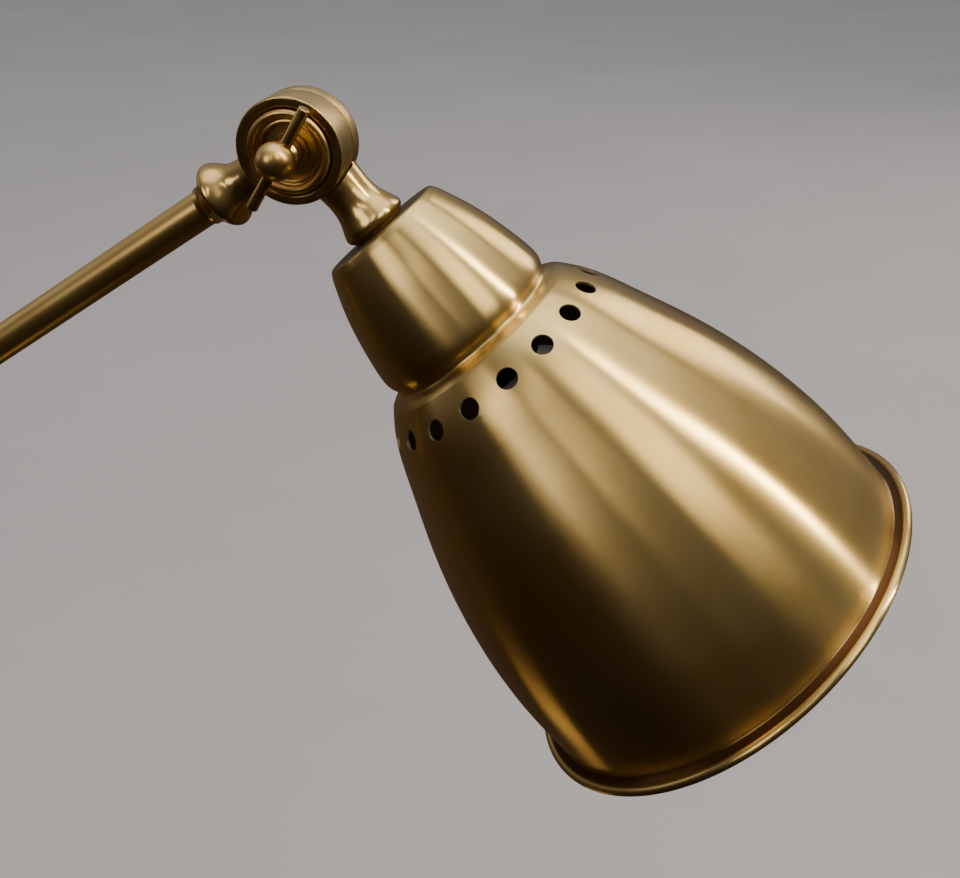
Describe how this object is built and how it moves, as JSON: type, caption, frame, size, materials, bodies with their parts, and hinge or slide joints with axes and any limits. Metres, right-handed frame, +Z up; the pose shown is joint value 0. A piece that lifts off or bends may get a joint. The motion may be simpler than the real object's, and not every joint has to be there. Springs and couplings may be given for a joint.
{
  "type": "adjustable arm floor lamp",
  "caption": "Floor lamp with a weighted round base, upright pole, tilting tube arm and a tilting spun-metal shade, each hinge clamped by a thumb screw.",
  "frame": {"origin": "centre of the underside of the base, on the floor", "axes": "+Z up along the pole; +X the way the arm reaches as stored; -Y the side of the thumb screws, with both hinge axes along Y"},
  "size_m": [0.617, 0.23, 1.0074],
  "materials": {
    "brass": "polished antique brass",
    "shade_brass": "satin brushed antique brass",
    "iron": "cast and blackened",
    "steel": "zinc plated",
    "felt": "black felt",
    "fibre": "pressed fibre",
    "plastic": "black thermoset",
    "flex": "insulated two-core flex",
    "bulb_metal": "nickelled screw cap",
    "bulb_housing": "white matt",
    "bulb_globe": "opal diffuser"
  },
  "bodies": {
    "stand": {"base_pad": "felt", "base_weight": "iron", "base_cover": "brass", "cord_gland": "plastic", "foot_collar": "brass", "foot_threaded_tube": "steel", "foot_nut": "steel", "foot_washer": "steel", "pole_bush": "steel", "pole_tube": "brass", "pole_flex": "flex", "pole_knuckle": "brass", "lower_friction_washer": "fibre", "lower_clamp_nut": "steel", "lower_back_cap": "brass"},
    "arm": {"arm_lower_knuckle": "brass", "arm_tube": "brass", "arm_flex": "flex", "lower_cup_washer": "brass", "lower_spring_washer": "steel", "arm_upper_knuckle": "brass", "upper_cup_washer": "brass", "upper_spring_washer": "steel"},
    "head": {"head_knuckle": "brass", "upper_friction_washer": "fibre", "upper_clamp_nut": "steel", "upper_back_cap": "brass", "shade": "shade_brass", "neck_nipple": "steel", "nipple_nut": "steel", "holder_cap": "plastic", "holder_body": "plastic", "holder_screw_shell": "brass", "holder_centre_contact": "brass", "bulb_cap": "bulb_metal", "bulb_housing": "bulb_housing", "bulb_globe": "bulb_globe", "head_flex": "flex"},
    "lower_screw": {"lower_thumb_screw": "brass", "lower_cross_bar": "brass"},
    "upper_screw": {"upper_thumb_screw": "brass", "upper_cross_bar": "brass"}
  },
  "joints": [
    {"name": "arm_tilt", "type": "hinge", "parent": "stand", "child": "arm", "pos_m": [0, 0, 0.79], "axis": [0, -1, 0], "range_deg": [-60, 76]},
    {"name": "head_tilt", "type": "hinge", "parent": "arm", "child": "head", "pos_m": [0.2988, 0, 0.99079], "axis": [0, -1, 0], "range_deg": [-35, 100]},
    {"name": "lower_screw_turn", "type": "hinge", "parent": "stand", "child": "lower_screw", "pos_m": [0, 0, 0.79], "axis": [0, -1, 0], "range_deg": [0, 360]},
    {"name": "upper_screw_turn", "type": "hinge", "parent": "head", "child": "upper_screw", "pos_m": [0.2988, 0, 0.99079], "axis": [0, -1, 0], "range_deg": [0, 360]}
  ]
}
